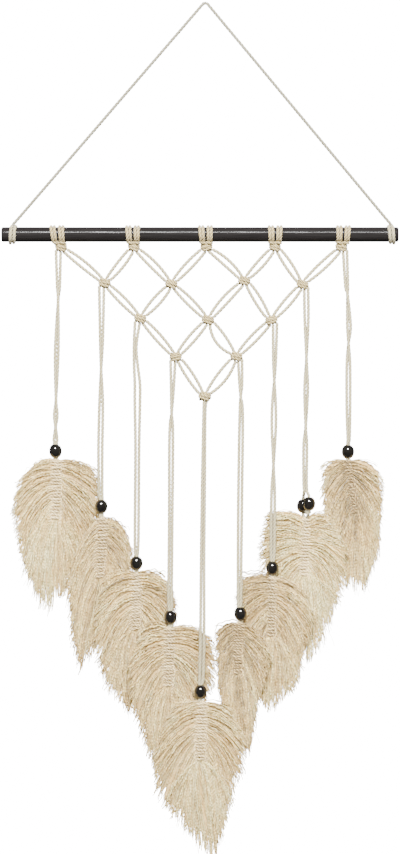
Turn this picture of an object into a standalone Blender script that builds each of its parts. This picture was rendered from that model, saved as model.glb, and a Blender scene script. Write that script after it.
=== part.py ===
"""Macrame wall hanging with rod.

A painted rod hangs from one cord tied round its ends.  A net of doubled cords
hangs from the rod, five groups wide, drawn together by square knots.  Nine
pairs of cords run down from the net's edge, each through a bead, to a
leaf-shaped fringe tied along a knotted spine.

Sizes below are in millimetres: x to the right, "drop" down from the point where
a nail carries the hanging cord, which is the origin.  The front faces -Y.
"""
import math

import bmesh
import bpy
from mathutils import Matrix, Vector

MM = 0.001
CLEARANCE = 0.3

# Rod and hanging cord
ROD_LENGTH = 400.0
ROD_DIAMETER = 12.8
ROD_MIDDLE_X = -5.4
ROD_DROP = 232.0
ROD_CHAMFER = 1.2
ROD_SIDES = 20
HANGER_CORD = 3.0
HANGER_TURN_PITCH = 3.6
# Angles round the rod, 0 at its back and 90 on top: where the cord leaves for
# the nail, and how much of it is wound before that
HANGER_LEAVE_ANGLE = 60.0
HANGER_WRAP = 760.0
HANGER_STEPS = 19
# Where the last turn crosses the rod's front at each end
HANGER_FRONT_X = {-1: -196.2, 1: 189.6}
# From this angle on the cord climbs on the turn beside it: how far in, and up
HANGER_CLIMB_ANGLE = -90.0
HANGER_RETURN = 3.9
HANGER_LIFT = 3.4
HANGER_APEX_RADIUS = 3.5
HANGER_KNOT = (8.4, 6.4, 4.6)
HANGER_KNOT_SETBACK = 1.0
APEX_STEPS = 5
APEX_SPAN = 50.0

# Net
WRAP_CORD = 3.0
NET_CORD = 2.6
WRAP_SIDES = 5
NET_SIDES = 4
WRAP_SHIFTS = (-6.0, -2.7, 2.7, 6.0)
WRAP_STEP_ANGLE = 46.0
# Where a wrap leaves the rod for its knot: least angle from straight down, share
# of the wrap's lean taken on the rod, squeeze of the group at the knot
WRAP_LEAVE_ANGLE = 30.0
WRAP_LEAN = 0.35
WRAP_SQUEEZE = 0.55
WRAP_END_RISE = 2.5
WRAP_END_DEPTH = 0.6
KNOT_WIDTH = 12.4
KNOT_HEIGHT = 9.6
KNOT_DEPTH = 8.4
KNOT_SIDES = 6
KNOT_SLANT = 0.12
# Knot profile, top to bottom: height, width, both as shares of the whole
KNOT_PROFILE = (
    (0.50, 0.50),
    (0.33, 0.95),
    (0.18, 0.74),
    (0.00, 1.00),
    (-0.18, 0.76),
    (-0.33, 0.92),
    (-0.50, 0.46),
)
# Where the four cords enter a knot's top and leave its foot: x, rise
KNOT_TOP = ((-5.4, 2.4), (-2.2, 4.4), (1.9, 4.4), (5.4, 2.4))
KNOT_FOOT = ((-5.3, -2.6), (-0.6, -4.2), (1.8, -4.2), (5.7, -2.4))
# Knots row by row, left to right: x, drop
KNOT_ROWS = (
    ((-145.5, 244.6), (-72.0, 244.5), (1.2, 244.4), (70.2, 244.4), (137.4, 244.6)),
    ((-101.8, 280.8), (-34.3, 281.8), (39.3, 278.6), (98.2, 282.2)),
    ((-65.6, 316.6), (2.7, 318.2), (66.7, 318.2)),
    ((-29.8, 355.4), (31.4, 355.0)),
    ((-0.6, 395.2),),
)
# Middle of each group of wraps on the rod
GROUP_X = (-149.8, -73.4, 0.2, 70.6, 139.6)
# How far the two cords of a link bow apart at its middle
UPPER_BOW = 0.2
LOWER_BOW = 0.5
# Links whose lower cord hangs slacker: (row, column, side) to bow
SLACK_BOW = {(1, 1, -1): 2.0, (2, 1, 1): 4.2, (3, 0, 1): 1.2, (3, 1, -1): 2.4}
LINK_STEPS = 2
SLACK_LINK_STEPS = 4

# Beads
BEAD_DIAMETER = 11.7
BEAD_HEIGHT = 12.6
BEAD_SIDES = 8
# Bead profile, top to bottom: height, radius, as shares of the half sizes
BEAD_PROFILE = ((1.0, 0.62), (0.5, 0.97), (-0.35, 0.97), (-1.0, 0.6))
NECK_DIAMETER = 4.6
NECK_MARGIN = 2.0
NECK_OVERLAP = 1.0

# Cord pairs from the net to the beads.  Columns: name, knot row, knot column,
# first foot place on the knot, bead x, bead drop, drop where the pair has
# closed up, spacing once closed, x at that drop
TAILS = (
    ("1", 0, 0, 0, -151.3, 450.6, 286.0, 2.0, -148.0),
    ("2", 1, 0, 0, -105.1, 506.6, 345.0, 3.0, -105.2),
    ("3", 2, 0, 0, -69.6, 563.8, 400.0, 3.8, -70.0),
    ("4", 3, 0, 0, -35.3, 618.5, 402.0, 2.6, -34.6),
    ("5", 4, 0, 1, -4.8, 693.7, 412.0, 2.4, -0.8),
    ("6", 3, 1, 2, 35.6, 615.0, 402.0, 2.8, 35.4),
    ("7", 2, 2, 2, 67.9, 568.9, 400.0, 3.4, 69.6),
    ("8", 1, 3, 2, 101.4, 505.0, 345.0, 3.0, 102.4),
    ("9", 0, 4, 2, 144.1, 451.3, 282.0, 2.0, 142.8),
)
TAIL_TURN = 50.0
# Places down a pair: share of its length, turn of the pair in tail turns
TAIL_TURNS = ((0.0, 0.4), (0.5, -0.6), (1.0, 0.0))
# The eighth pair parts to carry one bead on each cord.  Columns: letter, x, y,
# drop
SPLIT_TAIL = "8"
SPLIT_BEADS = (("back", 99.0, 5.9, 506.4), ("front", 104.6, -5.9, 503.7))
SPLIT_START = 484.0
SPLIT_BORE_RUN = 1.0
# Half the offset between the split cords where they meet again: x, y
SPLIT_MEETING = (0.9, -0.5)

# Fringes
ROWS_PER_SPINE = 11
SPINE_HALF_WIDTH = 5.4
SPINE_RIDGE = 4.3
SPINE_GROOVE = 3.0
ROW_SPACE = 0.9
LOCK_PLACES = (0.3, 0.76, 1.0)
LOCK_THICKNESS = (3.2, 2.6, 1.0)
LOCK_SPACE = 0.5
TIP_WIDTH_SHARE = 0.45
ROOT_SPLAY = 20.0
DROOP = 22.0
# How far alternate locks stand before and behind the fringe's middle surface
LOCK_LIFT = 0.5
# Part of a lock's length over which its heading is taken
HEADING_STEP = 0.1
COLLAR_HEIGHT = 1.0
RAGGED_ENDS = (0.0, -0.05, 0.03, -0.02, 0.04)
FAN_SLOPE = 0.25
# Spines.  Columns: name, top x, top drop, length, lean (x per unit drop),
# plane: 1 has the right edge back, -1 the left edge back, 0 both edges forward
SPINES = (
    ("1", -150.3, 459.7, 60.0, -0.01, 1),
    ("2", -103.3, 518.3, 61.0, -0.055, 1),
    ("3", -69.5, 574.3, 57.0, -0.01, 1),
    ("4", -36.2, 629.4, 59.0, -0.01, 1),
    ("5", -3.3, 704.2, 59.0, -0.034, 0),
    ("6", 34.0, 623.9, 52.0, -0.03, -1),
    ("7", 68.1, 578.2, 60.0, -0.03, -1),
    ("8", 102.2, 518.6, 58.0, -0.035, -1),
    ("9", 144.6, 460.2, 53.0, 0.13, -1),
)
# Outline that the lock tips reach, as x and drop of five points down each side,
# from the shoulder to the lowest
TIP_OUTLINES = {
    ("1", -1): ((-173.0, 465.8), (-190.0, 483.0), (-195.3, 513.0), (-184.0, 568.0), (-166.5, 608.5)),
    ("1", 1): ((-110.0, 467.5), (-106.4, 490.0), (-108.0, 522.0), (-124.0, 578.0), (-149.0, 603.0)),
    ("2", -1): ((-134.0, 570.0), (-138.5, 600.0), (-137.0, 626.0), (-133.0, 648.0), (-128.5, 665.5)),
    ("2", 1): ((-79.1, 534.4), (-73.5, 553.0), (-73.0, 573.0), (-90.0, 620.0), (-121.5, 664.5)),
    ("3", -1): ((-102.3, 584.0), (-111.5, 612.0), (-110.0, 655.0), (-97.5, 688.0), (-80.5, 709.0)),
    ("3", 1): ((-40.0, 578.5), (-29.5, 600.0), (-27.5, 618.0), (-38.0, 665.0), (-74.0, 709.0)),
    ("4", -1): ((-64.9, 634.4), (-78.5, 668.0), (-73.0, 714.0), (-58.0, 748.0), (-51.0, 772.0)),
    ("4", 1): ((-5.0, 632.5), (6.5, 645.0), (9.5, 665.0), (7.0, 692.0), (-43.0, 772.0)),
    ("5", -1): ((-35.7, 711.2), (-52.5, 760.0), (-49.0, 795.0), (-30.0, 827.0), (3.0, 857.0)),
    ("5", 1): ((29.0, 716.3), (41.5, 745.0), (38.5, 775.0), (28.5, 808.0), (10.0, 857.0)),
    ("6", -1): ((9.0, 638.0), (12.0, 664.0), (13.0, 690.0), (20.0, 722.0), (36.0, 750.0)),
    ("6", 1): ((61.3, 646.6), (66.9, 661.7), (57.0, 692.0), (50.0, 722.0), (44.0, 755.0)),
    ("7", -1): ((34.5, 581.5), (30.0, 601.0), (31.5, 622.0), (44.0, 665.0), (60.0, 708.5)),
    ("7", 1): ((101.7, 598.1), (110.8, 618.3), (101.0, 655.0), (93.0, 687.0), (69.0, 709.5)),
    ("8", -1): ((64.5, 516.5), (56.5, 535.0), (54.0, 562.0), (66.0, 608.0), (99.0, 658.0)),
    ("8", 1): ((124.5, 516.5), (143.5, 550.0), (141.5, 585.0), (128.5, 620.0), (109.5, 658.0)),
    ("9", -1): ((114.5, 465.5), (117.5, 490.0), (120.0, 515.0), (131.0, 558.0), (143.5, 587.5)),
    ("9", 1): ((174.0, 467.0), (181.5, 484.0), (178.5, 520.0), (174.5, 556.0), (159.0, 592.0)),
}

CORD_COLOUR = (0.62, 0.56, 0.46)
FRINGE_COLOUR = (0.72, 0.62, 0.46)
ROD_COLOUR = (0.015, 0.015, 0.016)
BEAD_COLOUR = (0.008, 0.008, 0.009)


def clear_scene():
    for item in list(bpy.data.objects):
        bpy.data.objects.remove(item, do_unlink=True)


def finish_material(name, colour, roughness):
    material = bpy.data.materials.new(name)
    material.use_nodes = True
    shader = material.node_tree.nodes["Principled BSDF"]
    shader.inputs["Base Color"].default_value = (*colour, 1.0)
    shader.inputs["Roughness"].default_value = roughness
    shader.inputs["Metallic"].default_value = 0.0
    return material


def at(x, y, drop):
    return Vector((x, y, -drop))


def add_object(name, bm, material, crease=35.0):
    """Turn a mesh modelled in millimetres into an object in metres."""
    bmesh.ops.recalc_face_normals(bm, faces=bm.faces)
    bmesh.ops.scale(bm, vec=(MM, MM, MM), verts=bm.verts)
    mesh = bpy.data.meshes.new(name)
    bm.to_mesh(mesh)
    bm.free()
    mesh.materials.append(material)
    mesh.shade_smooth()
    mesh.set_sharp_from_angle(angle=math.radians(crease))
    item = bpy.data.objects.new(name, mesh)
    bpy.context.scene.collection.objects.link(item)
    return item


def loft(bm, rings, closed=False):
    """Skin a run of rings of points and cap its ends, or join them to a tube."""
    loops = [[bm.verts.new(point) for point in ring] for ring in rings]
    following = loops[1:] + (loops[:1] if closed else [])
    for upper, lower in zip(loops, following):
        for i, vert in enumerate(upper):
            j = (i + 1) % len(upper)
            bm.faces.new((vert, upper[j], lower[j], lower[i]))
    if not closed:
        bm.faces.new(reversed(loops[0]))
        bm.faces.new(loops[-1])


def sweep(bm, path, radius, sides):
    """A round cord along a path, with flat ends."""
    tangents = [(path[min(i + 1, len(path) - 1)] - path[max(i - 1, 0)]).normalized()
                for i in range(len(path))]
    normal = tangents[0].orthogonal().normalized()
    rings = []
    for point, tangent in zip(path, tangents):
        normal = (normal - tangent * normal.dot(tangent)).normalized()
        side = tangent.cross(normal)
        rings.append([
            point + radius * (normal * math.cos(turn) + side * math.sin(turn))
            for turn in (math.tau * k / sides for k in range(sides))
        ])
    loft(bm, rings)


def bezier(points, t):
    a, b, c, d = points
    s = 1.0 - t
    return a * s ** 3 + b * (3 * s * s * t) + c * (3 * s * t * t) + d * t ** 3


def knot(bm, centre, width=KNOT_WIDTH, height=KNOT_HEIGHT, depth=KNOT_DEPTH):
    """A square knot as three slanted ridges across the cords."""
    rings = []
    for level, share in KNOT_PROFILE:
        ring = []
        for k in range(KNOT_SIDES):
            turn = math.tau * k / KNOT_SIDES
            x = 0.5 * width * share * math.cos(turn)
            y = 0.5 * depth * share * math.sin(turn)
            ring.append(centre + Vector((x, y, level * height + KNOT_SLANT * x)))
        rings.append(ring)
    loft(bm, rings)


def weld(name, cords, knots, material):
    """Fuse overlapping cords and knots into one body."""
    body = add_object(name, cords, material)
    helper = add_object(name + "_knots", knots, material)
    helper.hide_render = True
    helper.display_type = "WIRE"
    fuse = body.modifiers.new("fuse", "BOOLEAN")
    fuse.operation = "UNION"
    fuse.solver = "EXACT"
    fuse.use_self = True
    fuse.object = helper
    return body


def build_rod(material):
    radius = 0.5 * ROD_DIAMETER
    half = 0.5 * ROD_LENGTH
    ends = ((-half, radius - ROD_CHAMFER), (-half + ROD_CHAMFER, radius),
            (half - ROD_CHAMFER, radius), (half, radius - ROD_CHAMFER))
    rings = [[at(ROD_MIDDLE_X + x, r * math.cos(turn), ROD_DROP - r * math.sin(turn))
              for turn in (math.tau * k / ROD_SIDES for k in range(ROD_SIDES))]
             for x, r in ends]
    bm = bmesh.new()
    loft(bm, rings)
    add_object("rod", bm, material)


def lap_radius(cord, step_angle):
    """Centre line radius that keeps a faceted cord clear of the rod."""
    seat = 0.5 * (ROD_DIAMETER + cord) + CLEARANCE
    return seat / math.cos(math.radians(0.5 * step_angle))


def hanger_side(side):
    """Turns round one end of the rod, up to where the cord leaves it."""
    step = HANGER_WRAP / HANGER_STEPS
    radius = lap_radius(HANGER_CORD, step)
    points = []
    for k in range(HANGER_STEPS + 1):
        degrees = HANGER_LEAVE_ANGLE - HANGER_WRAP + step * k
        turn = math.radians(degrees)
        climb = max(0.0, degrees - HANGER_CLIMB_ANGLE) / (HANGER_LEAVE_ANGLE - HANGER_CLIMB_ANGLE)
        x = HANGER_TURN_PITCH * (degrees + 180.0) / 360.0 - HANGER_RETURN * climb ** 2
        reach = radius + HANGER_LIFT * climb * (2.0 - climb)
        points.append(at(HANGER_FRONT_X[side] + side * x, reach * math.cos(turn),
                         ROD_DROP - reach * math.sin(turn)))
    return points


def build_hanger(material):
    left, right = hanger_side(-1), hanger_side(1)
    apex_drop = HANGER_APEX_RADIUS - 0.5 * HANGER_CORD
    arc = []
    for k in range(APEX_STEPS):
        turn = math.radians(90.0 + APEX_SPAN * (1.0 - 2.0 * k / (APEX_STEPS - 1)))
        x = HANGER_APEX_RADIUS * math.cos(turn)
        arc.append(at(x, 0.0, apex_drop - HANGER_APEX_RADIUS * math.sin(turn)))
    cord = bmesh.new()
    sweep(cord, left + arc + right[::-1], 0.5 * HANGER_CORD, WRAP_SIDES)
    knots = bmesh.new()
    for points in (left, right):
        back = 0.5 * (points[0] + points[-2])
        knot(knots, back + Vector((0.0, HANGER_KNOT_SETBACK, 0.0)), *HANGER_KNOT)
    weld("hanging_cord", cord, knots, material)


def wrap_path(top_x, knot_centre, foot_x):
    """One cord up behind the rod, over it and down its front, to the knot."""
    radius = lap_radius(WRAP_CORD, WRAP_STEP_ANGLE)
    lap = 360.0 - 2.0 * WRAP_LEAVE_ANGLE
    steps = math.ceil(lap / WRAP_STEP_ANGLE)
    end = at(foot_x, 0.0, -knot_centre.z - WRAP_END_RISE)
    inset = Vector((0.0, WRAP_END_DEPTH, 0.0))
    path = [end + inset]
    for k in range(steps + 1):
        turn = math.radians(WRAP_LEAVE_ANGLE + lap * k / steps)
        x = top_x + (foot_x - top_x) * WRAP_LEAN * (0.5 + 0.5 * math.cos(turn))
        path.append(at(x, radius * math.sin(turn), ROD_DROP + radius * math.cos(turn)))
    path.append(end - inset)
    return path


def link_path(start, finish, bow):
    """A cord between two knots, bowed sideways by the given amount."""
    steps = SLACK_LINK_STEPS if abs(bow) > LOWER_BOW else LINK_STEPS
    along = finish - start
    sideways = Vector((along.z, 0.0, -along.x)).normalized() * bow * 4.0 / 3.0
    guide = (start, start + along / 3 + sideways, finish - along / 3 + sideways, finish)
    return [bezier(guide, k / steps) for k in range(steps + 1)]


def knot_port(row, column, ports, index):
    x, drop = KNOT_ROWS[row][column]
    shift, rise = ports[index]
    return at(x + shift, 0.0, drop - rise)


def add_links(bm):
    for row, columns in enumerate(KNOT_ROWS[:-1]):
        for column in range(len(columns)):
            for side in (-1, 1):
                target = column if side > 0 else column - 1
                if not 0 <= target < len(KNOT_ROWS[row + 1]):
                    continue
                outer, inner = (3, 2) if side > 0 else (0, 1)
                far_outer, far_inner = (1, 0) if side > 0 else (2, 3)
                slack = SLACK_BOW.get((row, column, side), LOWER_BOW)
                for near, far, bow in ((outer, far_outer, -UPPER_BOW), (inner, far_inner, slack)):
                    start = knot_port(row, column, KNOT_FOOT, near)
                    finish = knot_port(row + 1, target, KNOT_TOP, far)
                    sweep(bm, link_path(start, finish, side * bow), 0.5 * NET_CORD, NET_SIDES)


def tail_path(tail, strand):
    """One cord of a pair, from its knot to just above its bead."""
    name, row, column, first, bead_x, bead_drop, close_drop, gap, close_x = tail
    start = knot_port(row, column, KNOT_FOOT, first + (strand > 0))
    path = [start]
    last_drop = bead_drop - 0.5 * BEAD_HEIGHT - NECK_MARGIN
    if name == SPLIT_TAIL:
        last_drop = SPLIT_START
    spread = max(gap, NET_CORD)
    for share, turn in TAIL_TURNS:
        drop = close_drop + share * (last_drop - close_drop)
        x = close_x + (bead_x - close_x) * share
        angle = math.radians(TAIL_TURN) * turn + math.acos(min(1.0, gap / spread))
        shift = 0.5 * spread * strand
        path.append(at(x + shift * math.cos(angle), shift * math.sin(angle), drop))
    return path


def fringe_neck_top(name):
    """Drop at which a pair ends, just above its fringe."""
    spine = next(row for row in SPINES if row[0] == name)
    return spine[2] - NECK_MARGIN


def add_tails(bm):
    radius = 0.5 * NET_CORD
    for tail in TAILS:
        name, bead_x, bead_drop = tail[0], tail[4], tail[5]
        end_drop = fringe_neck_top(name) - CLEARANCE
        paths = {strand: tail_path(tail, strand) for strand in (-1, 1)}
        if name == SPLIT_TAIL:
            for strand, (_, x, y, drop) in zip((-1, 1), SPLIT_BEADS):
                half = 0.5 * BEAD_HEIGHT + SPLIT_BORE_RUN
                path = paths[strand] + [at(x, y, drop - half), at(x, y, drop + half)]
                meeting_x, meeting_y = (strand * offset for offset in SPLIT_MEETING)
                path.append(at(bead_x + meeting_x, meeting_y, end_drop - SPLIT_BORE_RUN))
                sweep(bm, path, radius, NET_SIDES)
            continue
        for path in paths.values():
            sweep(bm, path, radius, NET_SIDES)
        top = bead_drop - 0.5 * BEAD_HEIGHT - NECK_MARGIN - NECK_OVERLAP
        neck = [at(bead_x, 0.0, top), at(bead_x, 0.0, end_drop)]
        sweep(bm, neck, 0.5 * NECK_DIAMETER, WRAP_SIDES)


def build_net(material):
    cords, knots = bmesh.new(), bmesh.new()
    for group_x, (knot_x, drop) in zip(GROUP_X, KNOT_ROWS[0]):
        centre = at(knot_x, 0.0, drop)
        for shift in WRAP_SHIFTS:
            path = wrap_path(group_x + shift, centre, knot_x + WRAP_SQUEEZE * shift)
            sweep(cords, path, 0.5 * WRAP_CORD, WRAP_SIDES)
    add_links(cords)
    add_tails(cords)
    for row in KNOT_ROWS:
        for x, drop in row:
            knot(knots, at(x, 0.0, drop))
    weld("net", cords, knots, material)


def build_bead(name, x, y, drop, cord_diameter, material):
    bore = 0.5 * cord_diameter + CLEARANCE
    profile = [(0.5 * BEAD_HEIGHT * level, 0.5 * BEAD_DIAMETER * share)
               for level, share in BEAD_PROFILE]
    profile += [(profile[-1][0], bore), (profile[0][0], bore)]
    turns = [math.tau * k / BEAD_SIDES for k in range(BEAD_SIDES)]
    rings = [[at(x + r * math.cos(turn), y + r * math.sin(turn), drop - level)
              for turn in turns] for level, r in profile]
    bm = bmesh.new()
    loft(bm, rings, closed=True)
    add_object("bead_" + name, bm, material)


def build_beads(material):
    for name, _, _, _, x, drop, *_ in TAILS:
        if name == SPLIT_TAIL:
            for letter, split_x, y, split_drop in SPLIT_BEADS:
                build_bead(name + "_" + letter, split_x, y, split_drop, NET_CORD, material)
        else:
            build_bead(name, x, 0.0, drop, NECK_DIAMETER, material)


def along(outline, share):
    """The point at a share of an outline's length."""
    points = [Vector(point) for point in outline]
    spans = [(b - a).length for a, b in zip(points, points[1:])]
    left = share * sum(spans)
    for start, finish, span in zip(points, points[1:], spans):
        if left <= span:
            return start.lerp(finish, left / span)
        left -= span
    return points[-1]


class Fringe:
    """A spine of knotted rows with a lock of yarn out of each row's two ends."""

    def __init__(self, name, x, drop, length, lean, plane):
        self.name = name
        self.x = x
        self.drop = drop
        self.length = length
        self.lean = lean
        self.plane = plane

    def spine_x(self, drop):
        return self.x + self.lean * (drop - self.drop)

    def depth(self, x, drop):
        """Where the fringe's middle surface lies in Y."""
        across = x - self.spine_x(drop)
        if self.plane == 0:
            return -FAN_SLOPE * abs(across)
        return self.plane * FAN_SLOPE * across

    def rib(self, side, t, v):
        """Line between two locks: t runs down the spine, v out to the tips."""
        root_drop = self.drop + self.length * t
        root = Vector((self.spine_x(root_drop) + side * SPINE_HALF_WIDTH, root_drop))
        tip = along(TIP_OUTLINES[self.name, side], t)
        chord = (tip - root) / 3.0
        droop = math.radians(DROOP) * chord.x / chord.length
        leave = Matrix.Rotation(-droop - side * math.radians(ROOT_SPLAY), 2) @ chord
        arrive = Matrix.Rotation(droop, 2) @ chord
        return bezier((root, root + leave, tip - arrive, tip), v)

    def section(self, first, last, heading, v, lift):
        """Corners of a lock between two ribs: first edge, then last edge."""
        width = abs(heading.normalized().cross(last - first))
        share = 0.5 * (1.0 - TIP_WIDTH_SHARE) if v == 1.0 else 0.5 * LOCK_SPACE / width
        edges = (first.lerp(last, share), last.lerp(first, share))
        root, middle, tip = LOCK_THICKNESS
        half = 0.5 * (root * (1 - v) ** 2 + 2 * middle * v * (1 - v) + tip * v * v)
        corners = []
        for edge in edges:
            y = self.depth(*edge) + lift * math.sin(math.pi * v)
            corners.append((at(edge.x, y - half, edge.y), at(edge.x, y + half, edge.y)))
        return corners

    def spine_ring(self, bm, drop, half_width, side_half, front):
        x = self.spine_x(drop)
        shape = ((-half_width, -side_half), (-half_width, side_half), (0.0, front),
                 (half_width, side_half), (half_width, -side_half), (0.0, -front))
        return [bm.verts.new(at(x + dx, y + self.depth(x + dx, drop), drop)) for dx, y in shape]

    def grow(self, bm, face, sections):
        """Extrude a face of the spine through a lock's sections."""
        for corners in sections:
            face = bmesh.ops.extrude_discrete_faces(bm, faces=[face])["faces"][0]
            for vert, corner in zip(face.verts, corners):
                vert.co = corner

    def side_lock(self, bm, face, side, row):
        ragged = RAGGED_ENDS[(row * 2 + (side > 0)) % len(RAGGED_ENDS)]
        lift = LOCK_LIFT if row % 2 else -LOCK_LIFT
        sections = []
        for v in LOCK_PLACES:
            reach = v + ragged * (v == 1.0)
            first = self.rib(side, row / ROWS_PER_SPINE, reach)
            last = self.rib(side, (row + 1) / ROWS_PER_SPINE, reach)
            heading = first - self.rib(side, row / ROWS_PER_SPINE, reach - HEADING_STEP)
            (uf, ub), (lf, lb) = self.section(first, last, heading, v, lift)
            sections.append((uf, ub, lb, lf) if side < 0 else (ub, uf, lf, lb))
        self.grow(bm, face, sections)

    def foot_lock(self, bm, face, side):
        sections = []
        for v in LOCK_PLACES:
            outer = self.rib(side, 1.0, v)
            inner = (outer + self.rib(-side, 1.0, v)) * 0.5
            heading = outer - self.rib(side, 1.0, v - HEADING_STEP)
            (of, ob), (nf, nb) = self.section(outer, inner, heading, v, 0.0)
            sections.append((nf, of, ob, nb) if side < 0 else (nb, ob, of, nf))
        self.grow(bm, face, sections)

    def build(self, material):
        bm = bmesh.new()
        pitch = self.length / ROWS_PER_SPINE
        half = 0.5 * LOCK_THICKNESS[0]
        neck = 0.5 * NECK_DIAMETER
        top = self.drop - NECK_MARGIN
        rings = [self.spine_ring(bm, top, neck, 0.5 * neck, neck),
                 self.spine_ring(bm, self.drop - COLLAR_HEIGHT, neck, 0.5 * neck, neck)]
        for row in range(ROWS_PER_SPINE):
            upper = self.drop + pitch * row
            lower = upper + pitch - ROW_SPACE
            rings.append(self.spine_ring(bm, upper, SPINE_HALF_WIDTH, half, SPINE_GROOVE))
            rings.append(self.spine_ring(bm, lower, SPINE_HALF_WIDTH, half, SPINE_RIDGE))
        locks = []
        for index, (upper, lower) in enumerate(zip(rings, rings[1:])):
            for i, vert in enumerate(upper):
                j = (i + 1) % len(upper)
                face = bm.faces.new((vert, upper[j], lower[j], lower[i]))
                if index >= 2 and index % 2 == 0 and i in (0, 3):
                    locks.append((face, -1 if i == 0 else 1, index // 2 - 1))
        bm.faces.new(reversed(rings[0]))
        lf, lb, back, rb, rf, front = rings[-1]
        feet = ((bm.faces.new((front, lf, lb, back)), -1), (bm.faces.new((back, rb, rf, front)), 1))
        for face, side, row in locks:
            self.side_lock(bm, face, side, row)
        for face, side in feet:
            self.foot_lock(bm, face, side)
        add_object("fringe_" + self.name, bm, material, crease=50.0)


def main():
    clear_scene()
    cord = finish_material("cotton cord", CORD_COLOUR, 0.9)
    yarn = finish_material("brushed cotton", FRINGE_COLOUR, 0.95)
    rod_paint = finish_material("satin paint", ROD_COLOUR, 0.35)
    bead_gloss = finish_material("gloss bead", BEAD_COLOUR, 0.12)
    build_rod(rod_paint)
    build_hanger(cord)
    build_net(cord)
    build_beads(bead_gloss)
    for spine in SPINES:
        Fringe(*spine).build(yarn)


main()
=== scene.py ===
"""Looks of a macrame wall hanging with rod.

Plied cotton cord replaces the plain cords of the net and of the hanging cord,
brushed yarn replaces the fringes' plain locks, and the rod and beads get finer
forms.  Places are in millimetres: x to the right, drop down from the nail, and
y into the picture.  They repeat those of the part.  The rod, cords and beads are
a little thicker than the part's, because the bright backdrop eats that much off
every dark or thin edge in the picture.
"""
import math

import bpy
import numpy as np
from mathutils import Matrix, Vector

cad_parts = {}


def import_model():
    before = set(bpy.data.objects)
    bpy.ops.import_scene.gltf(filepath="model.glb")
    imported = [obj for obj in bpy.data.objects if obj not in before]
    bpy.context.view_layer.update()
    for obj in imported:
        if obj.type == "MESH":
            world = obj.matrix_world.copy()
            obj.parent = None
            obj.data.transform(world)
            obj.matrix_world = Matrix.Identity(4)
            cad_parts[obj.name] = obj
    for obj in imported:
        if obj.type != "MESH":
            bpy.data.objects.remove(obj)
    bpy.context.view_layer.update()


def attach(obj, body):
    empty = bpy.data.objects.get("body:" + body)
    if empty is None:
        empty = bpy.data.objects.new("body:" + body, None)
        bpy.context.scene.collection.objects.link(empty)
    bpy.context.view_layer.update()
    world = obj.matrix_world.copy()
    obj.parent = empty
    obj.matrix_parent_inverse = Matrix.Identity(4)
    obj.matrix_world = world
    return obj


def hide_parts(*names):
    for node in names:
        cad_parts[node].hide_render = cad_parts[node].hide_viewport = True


MM = 0.001
SEED = 20

# Picture frame: its height in pixels, the millimetres that one of them covers,
# and its middle as x and drop
PICTURE_HEIGHT = 854
PIXEL = 1.0101
PICTURE_MIDDLE = (-5.35, 426.4)
CAMERA_DISTANCE = 3000.0
SENSOR = 36.0
CLIP_END = 50.0

# Studio.  Columns of the lights: place, size (both in metres) and watts
BACKDROP_WHITE = 16.8
WORLD_LIGHT = 0.52
WORLD_GLOSS = 0.09
FLOOR_DROP = 1020.0
FLOOR_HALF = 8.0
FLOOR_GLOW = 16.4
KEY_LIGHT = ((-0.1, -2.2, 1.15), (1.1, 0.16), 362.0)
FILL_LIGHT = ((1.3, -2.2, -0.2), (1.2, 1.2), 40.0)
BACK_LIGHT = ((0.6, 2.2, 0.9), (2.2, 1.4), 220.0)

# Spacing of the points along the cords' long runs, turns, wraps and knots
RUN_STEP = 1.1
TURN_STEP = 0.9
WRAP_STEP = 0.8
KNOT_STEP = 0.7
KNOT_CORE_STEP = 1.0
SPINE_CORE_STEP = 1.4

# Rod and hanging cord
ROD_LENGTH = 401.0
ROD_DIAMETER = 15.2
ROD_MIDDLE_X = -5.4
ROD_DROP = 231.92
ROD_EDGE_RADIUS = 1.8
ROD_EDGE_STEPS = 7
ROD_END_SHARES = (0.01, 0.4, 0.8, 0.97)
ROD_BAND = 8.0
ROD_BAND_STEPS = 24
ROD_SIDES = 64
HANGER_CORD = 3.4
HANGER_TURN_PITCH = 3.6
HANGER_LEAVE_ANGLE = 60.0
HANGER_WRAP = 760.0
HANGER_FRONT_X = {-1: -196.2, 1: 189.6}
HANGER_CLIMB_ANGLE = -90.0
HANGER_RETURN = 3.9
HANGER_LIFT = 3.4
HANGER_APEX_RADIUS = 3.5
HANGER_APEX_DEGREES = (145.0, 118.0, 90.0, 62.0, 35.0)
HANGER_RISE_SHARES = (0.06, 0.3, 0.6, 0.9)
HANGER_STEPS = 38
# The hitch behind each end's turns: x out along the rod, y and rise
HITCH = (
    (-3.6, -0.8, 1.2), (-3.4, 0.9, 0.4), (0.0, 1.6, 1.3), (3.3, 0.8, 0.9), (3.6, -1.0, 0.0),
    (3.2, 0.8, -1.2), (0.0, 1.6, -1.2), (-3.3, 0.7, -1.6), (-3.6, -1.0, -2.0),
)
HITCH_Y = 1.2

# Net
WRAP_CORD = 3.1
NET_CORD = 3.6
TAIL_CORD = 3.45
KNOT_CORD = 3.0
HITCH_CORD = 2.7
WRAP_SHIFTS = (-6.0, -2.7, 2.7, 6.0)
WRAP_LEAVE_ANGLE = 30.0
WRAP_LEAN = 0.35
WRAP_SQUEEZE = 0.55
WRAP_POINTS = 14
WRAP_FOOT_Y = 0.8
WRAP_FOOT_RISE = 1.0
# The bar across each half of a lark's head: x, y, rise
CROSS_BAR = (
    (-2.6, 0.6, 0.9), (-2.5, -3.6, 0.5), (-1.0, -5.4, 0.1), (1.0, -5.4, -0.3),
    (2.5, -3.6, -0.4), (2.6, 0.6, 0.0),
)
CROSS_BAR_X = 3.2
CROSS_BAR_DROP = 8.6
# The rod is drawn too thick, and the cords round it sink this far into it
WRAP_SINK = 1.1
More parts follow.
